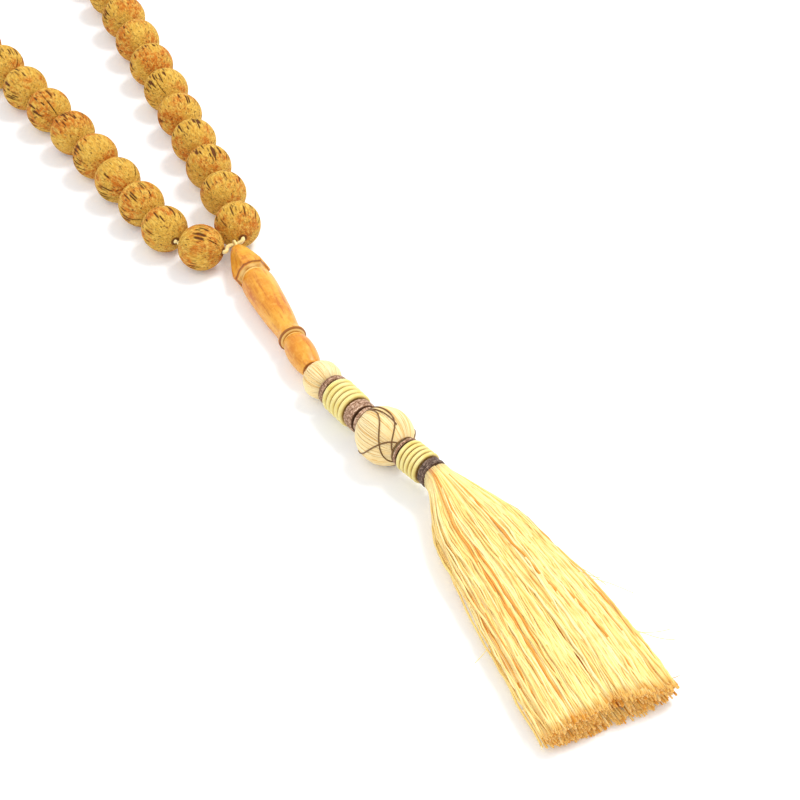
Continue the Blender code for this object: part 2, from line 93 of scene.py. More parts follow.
# Skirt: share of its length, side shift, half width, underside, top (the last four in millimetres)
SKIRT_LENGTH = 69.0 * MM
SKIRT_SECTIONS = (
    (0.00, 0.0, 2.7, 3.25, 8.65), (0.03, 0.05, 2.9, 3.1, 8.75), (0.09, 0.3, 4.6, 2.2, 8.6),
    (0.18, 0.6, 7.6, 0.0, 8.2), (0.38, 0.7, 10.2, 0.0, 7.6), (0.61, 0.2, 12.2, 0.0, 7.2),
    (0.85, -0.8, 13.4, 0.0, 6.8), (1.00, -1.4, 13.8, 0.0, 6.2),
)
SKIRT_THREADS = 1500
THREAD_R = 0.215 * MM
SKIRT_OVERLAP = 0.35 * MM  # how far the threads start above the skirt's pivot
SKIRT_SQUARENESS = (0.75, 0.8)  # across and up; at 1 a section would be an ellipse
ANY_PHASE = (0, 6.3)
BEAD_SEGMENTS = 120

# The cord over the leader's mouth, from the leader's top: x, y and height, in millimetres
YOKE_ROUTE = (
    (-2.73, -0.69, 5.15), (-2.18, 0.25, 5.0), (-1.2, 1.0, 4.56), (0.0, 1.2, 4.2), (1.2, 1.15, 4.46),
)

CAMERA_AZIMUTH, CAMERA_ELEVATION = math.radians(-28.0), math.radians(40.43)
CAMERA_DISTANCE, CAMERA_LENS = 0.6832, 153.0
CAMERA_AIM = Vector((9.44, -55.14, 0.0)) * MM  # from the leader's top, in plan


# Where the pieces are


def place_of(joint_name):
    return Vector(joints[joint_name]["pos_m"])


leader_axis = Vector(joints["foot_spin"]["axis"]).normalized()
foot_start = place_of("foot_spin")
body_start = foot_start - leader_axis * (BODY_LENGTH + FIT_GAP)
cap_start = body_start - leader_axis * (CAP_LENGTH + FIT_GAP)
leader_top = Vector((cap_start.x, cap_start.y, 0.0))
head_start, head_middle, skirt_root = (place_of(name) for name in ("head_swing", "head_bend", "skirt_swing"))


def aim(at, direction, turn=0.0):
    """A place whose +Z runs along the direction and whose +Y is as upright as it can be, then turned."""
    z = direction.normalized()
    x = Vector((0, 0, 1)).cross(z).normalized()
    y = z.cross(x)
    return Matrix.Translation(at) @ Matrix((x, y, z)).transposed().to_4x4() @ Matrix.Rotation(turn, 4, "Z")


def middle_of(node):
    low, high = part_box(node)
    return (low + high) / 2


def strand_order():
    """The names of what is on the cord, from the leader round and back to it."""
    order = [f"bead_{number:02d}" for number in range(1, 34)]
    order.insert(22, "marker_2")
    order.insert(11, "marker_1")
    return order


def threaded(name):
    """Centre, direction along the cord and half length of a bead or a marker disc."""
    joint = joints["count_slide" if name == "bead_01" else f"spin_{name}"]
    half = BEAD_R if name.startswith("bead") else MARKER_LENGTH / 2
    return middle_of(name), Vector(joint["axis"]).normalized(), half


# Modelling by hand


def start_piece(name):
    """Names the primitive that was just added, and opens it for editing with all of it selected."""
    obj = bpy.context.object
    obj.name = obj.data.name = name
    bpy.ops.object.mode_set(mode="EDIT")
    bpy.ops.mesh.select_all(action="SELECT")
    return obj


def close_piece(obj, angle=35.0):
    """Closes a piece: doubles merged, faces outwards, and smooth but for its sharp edges."""
    bpy.ops.mesh.select_all(action="SELECT")
    bpy.ops.mesh.remove_doubles(threshold=0.002 * MM)
    bpy.ops.mesh.normals_make_consistent(inside=False)
    bpy.ops.object.mode_set(mode="OBJECT")
    bpy.ops.object.shade_smooth_by_angle(angle=math.radians(angle))
    bpy.ops.object.select_all(action="DESELECT")
    return obj


def smooth_between(t, start, end, slope_in, slope_out):
    """The point at t, from 0 to 1, of a smooth line between two points with these slopes."""
    return ((2 * t**3 - 3 * t**2 + 1) * start + (t**3 - 2 * t**2 + t) * slope_in
            + (3 * t**2 - 2 * t**3) * end + (t**3 - t**2) * slope_out)


def rounded_outline(points, steps=5):
    """More points along a smooth line through an outline's own. A point given twice stays a corner."""
    ends = [points[0], *points, points[-1]]
    line = []
    for before, start, end, after in zip(ends, ends[1:], ends[2:], ends[3:]):
        if start == end:
            continue
        for i in range(steps):
            t = i / steps
            row = []
            for a, b, c, d in zip(before, start, end, after):
                lead_in = (c - a) / 2 if a != b else c - b
                lead_out = (d - b) / 2 if d != c else c - b
                row.append(smooth_between(t, b, c, lead_in, lead_out))
            line.append(tuple(row))
    return [*line, points[-1]]


def turned_piece(name, outline, bore_radius, steps=64):
    """A piece turned about Z: one point drawn out along the outline and down the hole, then spun."""
    chain = [*outline, (bore_radius, outline[-1][1]), (bore_radius, outline[0][1]), outline[0]]
    bpy.ops.mesh.primitive_plane_add(size=MM)
    obj = start_piece(name)
    bpy.ops.mesh.merge(type="CENTER")
    bpy.ops.transform.translate(value=(chain[0][0], 0.0, chain[0][1]))
    for (r, z), (next_r, next_z) in zip(chain, chain[1:]):
        bpy.ops.mesh.extrude_region_move(TRANSFORM_OT_translate={"value": (next_r - r, 0.0, next_z - z)})
    bpy.ops.mesh.select_all(action="SELECT")
    bpy.ops.mesh.spin(steps=steps, angle=2 * math.pi, center=(0, 0, 0), axis=(0, 0, 1))
    return close_piece(obj)


def vertices_of(mesh):
    co = np.empty(len(mesh.vertices) * 3)
    mesh.vertices.foreach_get("co", co)
    return co.reshape(-1, 3)


def set_vertices(mesh, co):
    mesh.vertices.foreach_set("co", np.ascontiguousarray(co, np.float32).ravel())
    mesh.update()


def mark(mesh, name, values, kind="FLOAT"):
    """Stores one number, or one vector, for each point of a mesh, for its finish to read."""
    attribute = mesh.attributes.new(name, kind, "POINT")
    key = "vector" if kind == "FLOAT_VECTOR" else "value"
    attribute.data.foreach_set(key, np.ascontiguousarray(values, np.float32).ravel())


def mark_wood(mesh, seed, burn_and_recess_shade=0.0, pore=0.0):
    """The wood's own place, its tone, its dark turned lines, the painted shade in a bead's hole, and its
    pores, while it is still along Z.
    """
    rng = np.random.default_rng(seed)
    co = vertices_of(mesh) / MM
    count = len(co)
    mark(mesh, "grain", co + rng.uniform(-200, 200, 3), "FLOAT_VECTOR")
    mark(mesh, "tone", np.full(count, rng.random()))
    mark(mesh, "burn_and_recess_shade", np.broadcast_to(burn_and_recess_shade, count))
    mark(mesh, "pore", np.broadcast_to(pore, count))


def finish_piece(obj, material, body, slot, *nodes):
    """Gives a piece its finish and its body, and hides the model's nodes that it stands for."""
    obj.data.materials.clear()
    obj.data.materials.append(material)
    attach(obj, body)
    if nodes:
        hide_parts(*nodes)
    return obj


def new_object(name, mesh):
    obj = bpy.data.objects.new(name, mesh)
    bpy.context.scene.collection.objects.link(obj)
    return obj


# Threads and cords


def run_along(path):
    """How far along a path each of its points is."""
    return np.concatenate([[0.0], np.cumsum(np.linalg.norm(np.diff(path, axis=0), axis=1))])


def tubes(name, paths, radii, sides, ply=0, ply_turn=0.0, ply_depth=0.0):
    """One mesh of many threads. Each path is a list of points; radii holds a radius, or one for each point.
    A cord of several plies has its section swell that many times round, and turn as it goes along."""
    points, faces, along, share, tone = [], [], [], [], []
    rng = np.random.default_rng(len(paths) * 7 + sides)
    count = 0
    for index, path in enumerate(paths):
        path = np.asarray(path, float)
        run = run_along(path)
        tangent = np.gradient(path, axis=0)
        tangent /= np.linalg.norm(tangent, axis=1)[:, None]
        side = np.empty_like(path)
        start = np.cross(tangent[0], (0.0, 0.0, 1.0))
        side[0] = start if np.linalg.norm(start) > 1e-6 else (1.0, 0.0, 0.0)
        for i in range(1, len(path)):
            side[i] = side[i - 1] - tangent[i] * (side[i - 1] @ tangent[i])
            side[i] /= np.linalg.norm(side[i])
        side[0] /= np.linalg.norm(side[0])
        other = np.cross(tangent, side)
        turn = 2 * math.pi * np.arange(sides) / sides
        radius = np.broadcast_to(np.asarray(radii[index], float), len(path))[:, None] * np.ones(sides)
        if ply:
            radius = radius * (1 - ply_depth * (1 + np.cos(ply * (turn - ply_turn * run[:, None]))) / 2)
        ring = side[:, None] * np.cos(turn)[None, :, None] + other[:, None] * np.sin(turn)[None, :, None]
        points.append((path[:, None] + ring * radius[:, :, None]).reshape(-1, 3))
        i, j = np.meshgrid(np.arange(len(path) - 1), np.arange(sides), indexing="ij")
        near, far = i * sides, (i + 1) * sides
        k = (j + 1) % sides
        quads = np.stack([near + j, near + k, far + k, far + j], -1).reshape(-1, 4) + count
        faces += quads.tolist()
        faces.append((np.arange(sides)[::-1] + count).tolist())
        faces.append((np.arange(sides) + count + (len(path) - 1) * sides).tolist())
        count += len(path) * sides
        along.append(np.repeat(run / MM, sides))
        share.append(np.repeat(run / run[-1], sides))
        tone.append(np.full(len(path) * sides, rng.random()))
    mesh = bpy.data.meshes.new(name)
    mesh.from_pydata(np.concatenate(points).tolist(), [], faces)
    mark(mesh, "along", np.concatenate(along))
    mark(mesh, "share", np.concatenate(share))
    mark(mesh, "tone", np.concatenate(tone))
    mesh.shade_smooth()
    return new_object(name, mesh)


def smooth_line(points, spacing):
    """Points at an even spacing along a smooth line through the given ones."""
    points = [np.asarray(point, float) for point in points]
    ends = [2 * points[0] - points[1], *points, 2 * points[-1] - points[-2]]
    line = []
    for before, start, end, after in zip(ends, ends[1:], ends[2:], ends[3:]):
        for t in np.linspace(0, 1, 12, endpoint=False):
            pull = (end - before) * t + (2 * before - 5 * start + 4 * end - after) * t**2
            line.append(start + (pull + (3 * start - before - 3 * end + after) * t**3) / 2)
    line = np.array([*line, points[-1]])
    run = run_along(line)
    stops = np.linspace(0, run[-1], max(2, round(run[-1] / spacing) + 1))
    return np.stack([np.interp(stops, run, line[:, axis]) for axis in range(3)], 1)


def round_ends(path, radius):
    """Radii that close a thread in a dome at each end."""
    run = run_along(path)
    reach = np.clip(np.minimum(run, run[-1] - run) / radius, 0.0, 1.0)
    return radius * np.maximum(np.sqrt(1 - (1 - reach) ** 2), 0.05)


def helix(radius, start, end, turns, per_turn, tuck=0.0, phase=0.0):
    """A thread wound about Z. With a tuck its two ends turn in under the winding."""
    t = np.linspace(0, 1, round(turns * per_turn) + 1)
    angle = 2 * math.pi * turns * t + phase
    edge = np.clip(np.minimum(t, 1 - t) * turns * 6, 0, 1)
    r = radius - tuck * (1 - edge) ** 2
    return np.stack([r * np.cos(angle), r * np.sin(angle), start + (end - start) * t], 1)


# Finishes


def tint(red, green, blue):
    """A colour given in the usual 0 to 255 steps, as the shader's own linear values."""
    steps = [value / 255 for value in (red, green, blue)]
    return (*[v / 12.92 if v <= 0.04045 else ((v + 0.055) / 1.055) ** 2.4 for v in steps], 1.0)


def new_finish(name, sockets):
    material = bpy.data.materials.new(name)
    material.use_nodes = True
    shader = material.node_tree.nodes["Principled BSDF"]
    for socket, value in sockets.items():
        shader.inputs[socket].default_value = value
    return material, shader


def node(material, kind, values=None, **settings):
    made = material.node_tree.nodes.new("ShaderNode" + kind)
    for key, value in settings.items():
        setattr(made, key, value)
    for key, value in (values or {}).items():
        if isinstance(value, bpy.types.NodeSocket):
            material.node_tree.links.new(value, made.inputs[key])
        else:
            made.inputs[key].default_value = value
    return made


def stored(material, name, output="Fac"):
    return node(material, "Attribute", attribute_name=name).outputs[output]


def own_place(material):
    return node(material, "TexCoord").outputs["Object"]


def mixed(material, factor, first, second):
    values = {0: factor, 6: first, 7: second}
    return node(material, "Mix", values, data_type="RGBA").outputs[2]


def sums(material, operation, first, second=0.0):
    return node(material, "Math", {0: first, 1: second}, operation=operation).outputs[0]


def ramp(material, factor, *stops):
    """A colour ramp from (position, colour) stops."""
    made = node(material, "ValToRGB", {"Fac": factor})
    elements = made.color_ramp.elements
    while len(elements) < len(stops):
        elements.new(0.5)
    for element, (position, colour) in zip(elements, stops):
        element.position = position
        element.color = colour if isinstance(colour, tuple) else (colour, colour, colour, 1.0)
    return made.outputs["Color"]


def noise(material, place, scale, detail=3.0, stretch=(1.0, 1.0, 1.0), roughness=0.5):
    """Noise with so many swells to a millimetre, drawn out along the piece by its stretch."""
    drawn = node(material, "Mapping", {"Vector": place, "Scale": stretch}).outputs["Vector"]
    values = {"Vector": drawn, "Scale": scale, "Detail": detail, "Roughness": roughness}
    return node(material, "TexNoise", values).outputs["Fac"]


def raise_bump(material, shader, height, distance, strength=1.0):
    values = {"Height": height, "Distance": distance, "Strength": strength}
    material.node_tree.links.new(node(material, "Bump", values).outputs["Normal"], shader.inputs["Normal"])


def paint(material, shader, colour):
    material.node_tree.links.new(colour, shader.inputs["Base Color"])


def pored_wood(name, pale, middle, patch, dark):
    """Dry open-pored wood: olive ochre with orange patches, fibres and short dark pores along the hole, and
    painted shade on the hole's wall.
    """
    material, shader = new_finish(name, {"Roughness": 0.75, "Specular IOR Level": 0.25})
    place = stored(material, "grain", "Vector")
    cloud = noise(material, place, 0.2, 5.0, roughness=0.6)
    cloud = sums(material, "ADD", cloud, sums(material, "MULTIPLY", stored(material, "tone"), 0.09))
    ground = ramp(material, cloud, (0.4, middle), (0.53, middle), (0.64, patch))
    mottle = noise(material, place, 1.5, 5.0, (1.0, 1.0, 0.45), 0.7)
    mottled = mixed(material, ramp(material, mottle, (0.45, 0.0), (0.62, 0.75)), ground, pale)
    stain = noise(material, place, 1.1, 5.0, (1.0, 1.0, 0.6), 0.7)
    stained = mixed(material, ramp(material, stain, (0.54, 0.0), (0.7, 0.6)), mottled, patch)
    fibre = noise(material, place, 3.4, 4.0, (1.0, 1.0, 0.1), 0.65)
    fibred = mixed(material, ramp(material, fibre, (0.48, 0.0), (0.66, 0.6)), stained, dark)
    slit = noise(material, place, 2.4, 1.0, (1.0, 1.0, 0.2))
    slit_depth = ramp(material, slit, (0.66, 0.0), (0.72, 1.0))
    pore = ramp(material, stored(material, "pore"), (0.12, 0.0), (0.6, 1.0))
    pore = sums(material, "MAXIMUM", sums(material, "MULTIPLY", slit_depth, 0.7), pore)
    cut = mixed(material, pore, fibred, dark)
    # Dark turned lines, and painted shade on the wall of a bead's hole.
    paint(material, shader, mixed(material, stored(material, "burn_and_recess_shade"), cut, dark))
    height = sums(material, "SUBTRACT", sums(material, "MULTIPLY", mottle, 0.8), pore)
    height = sums(material, "SUBTRACT", height, sums(material, "MULTIPLY", fibre, 0.6))
    raise_bump(material, shader, height, 0.26 * MM, 1.0)
    return material


def satin_wood():
    """The leader's honey wood: satin, with orange streaks along it, brown turned lines and pale necks."""
    material, shader = new_finish("leader_satin_wood", {"Roughness": 0.38, "Specular IOR Level": 0.45})
    place = stored(material, "grain", "Vector")
    cloud = noise(material, place, 0.28, 4.0, (1.0, 1.0, 0.3), 0.6)
    honey = (0.36, tint(234, 176, 68)), (0.52, tint(224, 152, 44)), (0.68, tint(204, 116, 24))
    ground = ramp(material, cloud, *honey)
    streak = noise(material, place, 1.5, 5.0, (1.0, 1.0, 0.07), 0.6)
    streaked = mixed(material, ramp(material, streak, (0.5, 0.0), (0.66, 0.7)), ground, tint(186, 96, 22))
    mottle = noise(material, place, 1.3, 4.0)
    lit = mixed(material, ramp(material, mottle, (0.5, 0.0), (0.7, 0.45)), streaked, tint(242, 186, 84))
    pale = mixed(material, stored(material, "pore"), lit, tint(236, 196, 118))
    paint(material, shader, mixed(material, stored(material, "burn_and_recess_shade"), pale, tint(136, 70, 18)))
    height = sums(material, "ADD", streak, sums(material, "MULTIPLY", mottle, 0.6))
    raise_bump(material, shader, height, 0.07 * MM, 0.7)
    return material


def thread_silk(name, pale, full, deep, sheen=0.25, patchy=0.4):
    """Silk thread, each with its own tone, with deeper patches along it."""
    sockets = {"Roughness": 0.42, "Specular IOR Level": 0.45, "Sheen Weight": sheen}
    material, shader = new_finish(name, sockets)
    tone = ramp(material, stored(material, "tone"), (0.0, pale), (0.5, full), (0.86, full), (0.93, deep))
    place = own_place(material)
    patches = noise(material, place, 260.0, 3.0)
    colour = mixed(material, ramp(material, patches, (0.45, 0.0), (0.72, patchy)), tone, deep)
    paint(material, shader, colour)
    raise_bump(material, shader, noise(material, place, 5200.0, 2.0), 0.03 * MM, 0.6)
    return material, shader, colour


def skirt_silk():
    """The skirt's cream-yellow threads, golden where they are cut, with a faint painted glow."""
    material, shader, colour = thread_silk("skirt_silk", tint(255, 240, 176), tint(254, 222, 134),
                                           tint(229, 154, 48), patchy=0.25)
    tip = ramp(material, stored(material, "share"), (0.975, 0.0), (1.0, 0.6))
    tipped = mixed(material, tip, colour, tint(250, 170, 34))
    paint(material, shader, tipped)
    # Painted glow: the threads emit a little of their own colour, standing in for the light that comes
    # through the fine silk.
    material.node_tree.links.new(tipped, shader.inputs["Emission Color"])
    shader.inputs["Emission Strength"].default_value = 0.07  # the light that comes through the fine silk
    return material


def bronze_thread(name, dark, middle, painted_glint):
    """Metallic whipping thread: brown with painted pinkish glints, and painted shade between the turns."""
    material, shader = new_finish(name, {"Metallic": 0.45, "Roughness": 0.36})
    place = own_place(material)
    # Painted glints: bright pinkish spots of colour that stand for highlights on the metal.
    glint = noise(material, place, 2600.0, 3.0)
    glint = sums(material, "ADD", glint, sums(material, "MULTIPLY", stored(material, "tone"), 0.16))
    tone = ramp(material, glint, (0.42, dark), (0.58, middle), (0.74, painted_glint))
    # Painted shade between the turns, by how deep each point lies.
    paint(material, shader, mixed(material, stored(material, "burn_and_recess_shade"), tone, tint(78, 50, 32)))
    twist = sums(material, "SINE", sums(material, "MULTIPLY", stored(material, "along"), 2 * math.pi / 0.28))
    raise_bump(material, shader, twist, 0.04 * MM, 0.7)
    return material


def gimp_cord():
    """Pale yellow cord wrapped with fine silk, with painted shade in deeper yellow between the silk's wraps
    and between the cord's turns.
    """
    sockets = {"Roughness": 0.4, "Specular IOR Level": 0.45, "Sheen Weight": 0.2}
    material, shader = new_finish("gimp_cord", sockets)
    wrap = sums(material, "SINE", sums(material, "MULTIPLY", stored(material, "along"), 2 * math.pi / 0.24))
    place = own_place(material)
    yellows = (0.35, tint(252, 240, 164)), (0.7, tint(243, 222, 120))
    ground = ramp(material, noise(material, place, 500.0, 3.0), *yellows)
    # Painted shade: deeper yellow in the grooves between the silk's wraps.
    wrap_groove_shaded = mixed(material, ramp(material, wrap, (0.0, 0.22), (0.55, 0.0)), ground, tint(206, 168, 52))
    # Painted shade between the cord's turns, by how deep each point lies.
    paint(material, shader, mixed(material, stored(material, "burn_and_recess_shade"), wrap_groove_shaded, tint(186, 132, 24)))
    raise_bump(material, shader, wrap, 0.05 * MM, 0.6)
    return material


def plain_thread_finish(name, light, dark, scale):
    """A finish for what is mostly hidden: threads or wood with streaks."""
    material, shader = new_finish(name, {"Roughness": 0.6})
    place = own_place(material)
    streak = noise(material, place, scale, 4.0, (1.0, 0.12, 1.0))
    paint(material, shader, ramp(material, streak, (0.35, light), (0.65, dark)))
    raise_bump(material, shader, streak, 0.08 * MM, 0.8)
    return material


# The beads and the marker discs


def bead_blank():
    """A round bead at the origin with its hole along Z: a sphere cut at each end, and its openings
    bridged by the hole's wall."""
    cut = math.sqrt(BEAD_R**2 - BEAD_BORE_R**2)
    bpy.ops.mesh.primitive_uv_sphere_add(segments=BEAD_SEGMENTS, ring_count=72, radius=BEAD_R)
    obj = start_piece("bead_blank")
    for way in (1, -1):
        bpy.ops.mesh.select_all(action="SELECT")
        bpy.ops.mesh.bisect(plane_co=(0, 0, way * cut), plane_no=(0, 0, way), clear_outer=True)
    bpy.ops.mesh.select_all(action="DESELECT")
    bpy.ops.mesh.select_mode(type="EDGE")
    bpy.ops.mesh.select_non_manifold()
    bpy.ops.mesh.bridge_edge_loops()
    bpy.ops.mesh.select_mode(type="VERT")
    return close_piece(obj, 50.0)


def pore_map(co, rng):
    """How deep each point of a bead lies in a pore. A pore is a slit along the hole, on one meridian."""
    step = 2 * math.pi / BEAD_SEGMENTS
    turn = np.round(np.arctan2(co[:, 1], co[:, 0]) / step).astype(int) % BEAD_SEGMENTS
    depth = np.zeros(len(co))
    outer = np.hypot(co[:, 0], co[:, 1]) > 1.4 * BEAD_BORE_R
    clusters = [(rng.integers(BEAD_SEGMENTS), rng.uniform(-0.35, 0.35) * BEAD_R)
                for _ in range(rng.integers(2, 8))]
    for centre, height in clusters:
        for _ in range(rng.integers(3, 9)):
            meridian = (centre + rng.integers(-13, 14)) % BEAD_SEGMENTS
            middle = height + rng.normal(0, 0.18) * BEAD_R
            half = rng.uniform(0.1, 0.36) * BEAD_R
            cut = rng.uniform(0.45, 1.0) * np.clip(1.25 - ((co[:, 2] - middle) / half) ** 2, 0, 1)
            depth = np.where((turn == meridian) & outer, np.maximum(depth, cut), depth)
    return depth


def soft_dents(co, rng, size, swells=14):
    """A gentle unevenness all over a piece: a sum of a few slow waves."""
    ways = rng.normal(0, 1, (swells, 3)) / size
    phases = rng.uniform(0, 2 * math.pi, swells)
    return np.sin(co @ ways.T + phases).mean(1)


def carve_bead(blank, name, finish):
    """A copy of the blank with its own pores, dents and size, laid on its cord."""
    rng = np.random.default_rng(strand_order().index(name) + 101)
    mesh = blank.data.copy()
    mesh.name = name + "_wood"
    co = vertices_of(mesh)
    depth = pore_map(co, rng)
    out = co / np.linalg.norm(co, axis=1)[:, None]
    surface = (np.linalg.norm(co, axis=1) > 0.97 * BEAD_R)[:, None]
    shift = 0.10 * MM * soft_dents(co, rng, 1.7 * MM) + 0.05 * MM * soft_dents(co, rng, 0.6 * MM) - 0.03 * MM
    shift = shift - 0.27 * MM * depth
    set_vertices(mesh, co * rng.uniform(0.985, 1.0) + np.where(surface, out * shift[:, None], 0.0))
    # The wall of the hole is painted dark: painted shade in the bore.
    in_hole = np.hypot(co[:, 0], co[:, 1]) < 1.03 * BEAD_BORE_R
    mark_wood(mesh, rng.integers(1 << 30), burn_and_recess_shade=0.9 * in_hole, pore=depth)
    centre, along, _ = threaded(name)
    mesh.transform(aim(centre, along, rng.uniform(0, 2 * math.pi)))
    return finish_piece(new_object(name + "_wood", mesh), finish, name, "bead_wood", name)


def carve_marker(name, finish):
    """A flat disc with eased edges and a turned line round its rim."""
    half = MARKER_LENGTH / 2
    line = 0.16 * MM
    lower = [
        (BEAD_BORE_R + 0.1 * MM, -half), (2.1 * MM, -half), (2.9 * MM, -0.86 * half),
        (3.38 * MM, -0.5 * half), (MARKER_R, -0.16 * half), (MARKER_R - line, -0.04 * half),
    ]
    side = [*lower, *((r, -z) for r, z in reversed(lower))]
    obj = turned_piece(name + "_wood", rounded_outline(side, 4), BEAD_BORE_R, 72)
    mesh = obj.data
    co = vertices_of(mesh)
    groove = np.clip(1 - np.abs(co[:, 2]) / (0.12 * half), 0, 1) * (np.hypot(co[:, 0], co[:, 1]) > 3.0 * MM)
    rng = np.random.default_rng(len(co) + int(name[-1]))
    set_vertices(mesh, co * (1 + 0.012 * soft_dents(co, rng, 1.2 * MM)[:, None]))
    mark_wood(mesh, 40 + int(name[-1]), burn_and_recess_shade=groove)
    centre, along, _ = threaded(name)
    mesh.transform(aim(centre, along, 0.4))
    return finish_piece(obj, finish, name, "marker_wood", name)


# The leader


def facet_the_flare(mesh):
    """Cuts the cap's skirt to six sides below its round top, its rim drawn up a little between corners."""
    co = vertices_of(mesh)
    radius = np.hypot(co[:, 0], co[:, 1])
    turn = np.arctan2(co[:, 1], co[:, 0]) + math.pi / 2
    off_flat = (turn + math.pi / 6) % (math.pi / 3) - math.pi / 6
    flat = math.cos(math.pi / 6) / np.cos(off_flat)
    reach = np.clip((co[:, 2] / CAP_LENGTH - 0.2) / 0.25, 0, 1)
    reach = reach * reach * (3 - 2 * reach) * (radius > 1.3 * LEADER_BORE_R)
    shrink = 1 + reach * (flat - 1)
    lift = (0.5 * MM * reach * np.clip(co[:, 2] / CAP_LENGTH - 0.55, 0, 1) * np.cos(off_flat * 6)
            * (radius > CAP_SHOULDER_R))
    set_vertices(mesh, np.stack([co[:, 0] * shrink, co[:, 1] * shrink, co[:, 2] - lift], 1))


def within(height, spans):
    """Which heights lie in any of the spans, and a hair beyond."""
    hair = 0.01 * MM
    return np.any([(height >= low - hair) & (height <= high + hair) for low, high in spans], axis=0)


def carve_leader_piece(name, outline, start, body, finish, seed, burnt, pale, faceted=False):
    """A turned piece of the leader, with its dark turned lines and pale necks marked by height."""
    obj = turned_piece(name + "_wood", outline, LEADER_BORE_R, 96)
    mesh = obj.data
    co = vertices_of(mesh)
    burn_and_recess_shade, neck = within(co[:, 2], burnt), within(co[:, 2], pale)
    if faceted:
        facet_the_flare(mesh)
    rng = np.random.default_rng(seed)
    co = vertices_of(mesh)
    out = co * (1, 1, 0) / np.maximum(np.hypot(co[:, 0], co[:, 1]), 0.1 * MM)[:, None]
    flaw = 0.06 * MM * soft_dents(co * (1, 1, 0.3), rng, 1.4 * MM) - 0.02 * MM
    set_vertices(mesh, co + out * flaw[:, None])
    mark_wood(mesh, seed, burn_and_recess_shade=0.85 * burn_and_recess_shade, pore=neck)
    mesh.transform(aim(start, leader_axis))
    return finish_piece(obj, finish, body, "leader_wood", name)


def carve_leader(finish):
    bore = LEADER_BORE_R + 0.15 * MM
    length = CAP_LENGTH
    cap = rounded_outline([
        (bore, 0.0), (CAP_TOP_R, 0.06 * MM), (0.72 * CAP_SHOULDER_R, 0.16 * length),
        (0.86 * CAP_SHOULDER_R, 0.28 * length), (1.04 * CAP_SHOULDER_R, 0.45 * length),
        (1.2 * CAP_SHOULDER_R, 0.62 * length), (CAP_RIM_R, 0.86 * length),
        (CAP_RIM_R, 0.86 * length), (CAP_RIM_R, 0.93 * length), (CAP_RIM_R, 0.93 * length),
        (0.9 * CAP_RIM_R, 0.965 * length), (0.9 * CAP_RIM_R, 0.965 * length), (BODY_NECK_R, length),
        (bore, length),
    ])
    carve_leader_piece("leader_cap", cap, cap_start, "leader", finish, 11,
                       [(0.95 * length, 0.97 * length)], [(0.975 * length, length)], faceted=True)
    length = BODY_LENGTH
    body = rounded_outline([
        (bore, 0.0), (BODY_NECK_R - 0.2 * MM, 0.0), (BODY_NECK_R - 0.1 * MM, 0.35 * MM),
        (BODY_NECK_R, 0.55 * MM), (0.93 * BODY_R, 2.0 * MM), (BODY_R, 4.2 * MM),
        (0.96 * BODY_R, 0.4 * length),
        (0.86 * BODY_R, 0.66 * length), (BODY_WAIST_R, 0.86 * length), (1.03 * BODY_WAIST_R, 0.92 * length),
        (BODY_RIM_R, 0.965 * length), (BODY_RIM_R, 0.965 * length), (BODY_RIM_R, 0.985 * length),
        (BODY_RIM_R, 0.985 * length), (0.93 * BODY_RIM_R, 0.993 * length), (2.3 * MM, length),
        (bore, length),
    ])
    carve_leader_piece("leader_body", body, body_start, "leader", finish, 12,
                       [(0.975 * length, 0.995 * length)], [(0.0, 0.6 * MM), (0.996 * length, length)])
    length = FOOT_LENGTH
    foot = rounded_outline([
        (bore, 0.0), (2.05 * MM, 0.0), (2.3 * MM, 0.02 * length), (0.86 * FOOT_R, 0.12 * length),
        (0.96 * FOOT_R, 0.24 * length), (FOOT_R, 0.42 * length), (0.95 * FOOT_R, 0.65 * length),
        (0.8 * FOOT_R, 0.88 * length), (0.66 * FOOT_R, 0.985 * length), (bore, length),
    ])
    carve_leader_piece("leader_foot", foot, foot_start, "leader_foot", finish, 13,
                       [(0.99 * length, length)], [(0.0, 0.05 * length)])


# The stringing cord


def strand_cords():
    """Each length of cord as (node, body, first pivot, what is threaded on it, last pivot)."""
    order = strand_order()
    firsts = ("bead_02", "bead_07", "bead_12", "bead_17", "marker_2", "bead_28", "bead_33")
    ends = [order.index(name) for name in firsts]
    right = [place_of("loop_open" + hinge) for hinge in ("", "_right_2", "_right_3")]
    left = [place_of("loop_open" + hinge) for hinge in ("_left_3", "_left_2", "_left_1")]
    stops = [*right, (middle_of("bead_16") + middle_of("bead_17")) / 2, *left]
    names = ("right_1", "right_2", "tip_right", "tip_left", "left_2", "left_1")
    return [(name, stops[i], order[ends[i] : ends[i + 1]], stops[i + 1]) for i, name in enumerate(names)]


def lay_cord(name, body, points, finish):
    path = smooth_line(points, 0.4 * MM)
    obj = tubes(name + "_strand", [path], [round_ends(path, CORD_R)], 12, ply=3,
                ply_turn=2 * math.pi / (2.6 * MM), ply_depth=0.24)
    return finish_piece(obj, finish, body, "stringing_cord", name)


def lay_cords(finish):
    for name, start, things, end in strand_cords():
        points = [start]
        for thing in things:
            centre, along, half = threaded(thing)
            points += [centre - along * 0.9 * half, centre, centre + along * 0.9 * half]
        points.append(end)
        if "tip" in name:  # short of the opened pivot, so that the two ends pass each other
            way = points[0] - points[1] if name == "tip_left" else points[-1] - points[-2]
            shorter = -way.normalized() * 0.2 * MM
            points[0 if name == "tip_left" else -1] += shorter
        lay_cord("cord_" + name, "strand_" + name, points, finish)
    last, last_along, half = threaded("bead_33")
    first, first_along, _ = threaded("bead_01")
    route = [leader_top + Vector(point) * MM for point in YOKE_ROUTE]
    points = [
        place_of("loop_open_left_1"), last - last_along * 0.9 * half, last, last + last_along * half,
        *route,
        first - first_along * half, first, first + first_along * 0.9 * half, place_of("loop_open"),
    ]
    lay_cord("cord_yoke", "loop_yoke", points, finish)
    lay_leader_cord(finish)


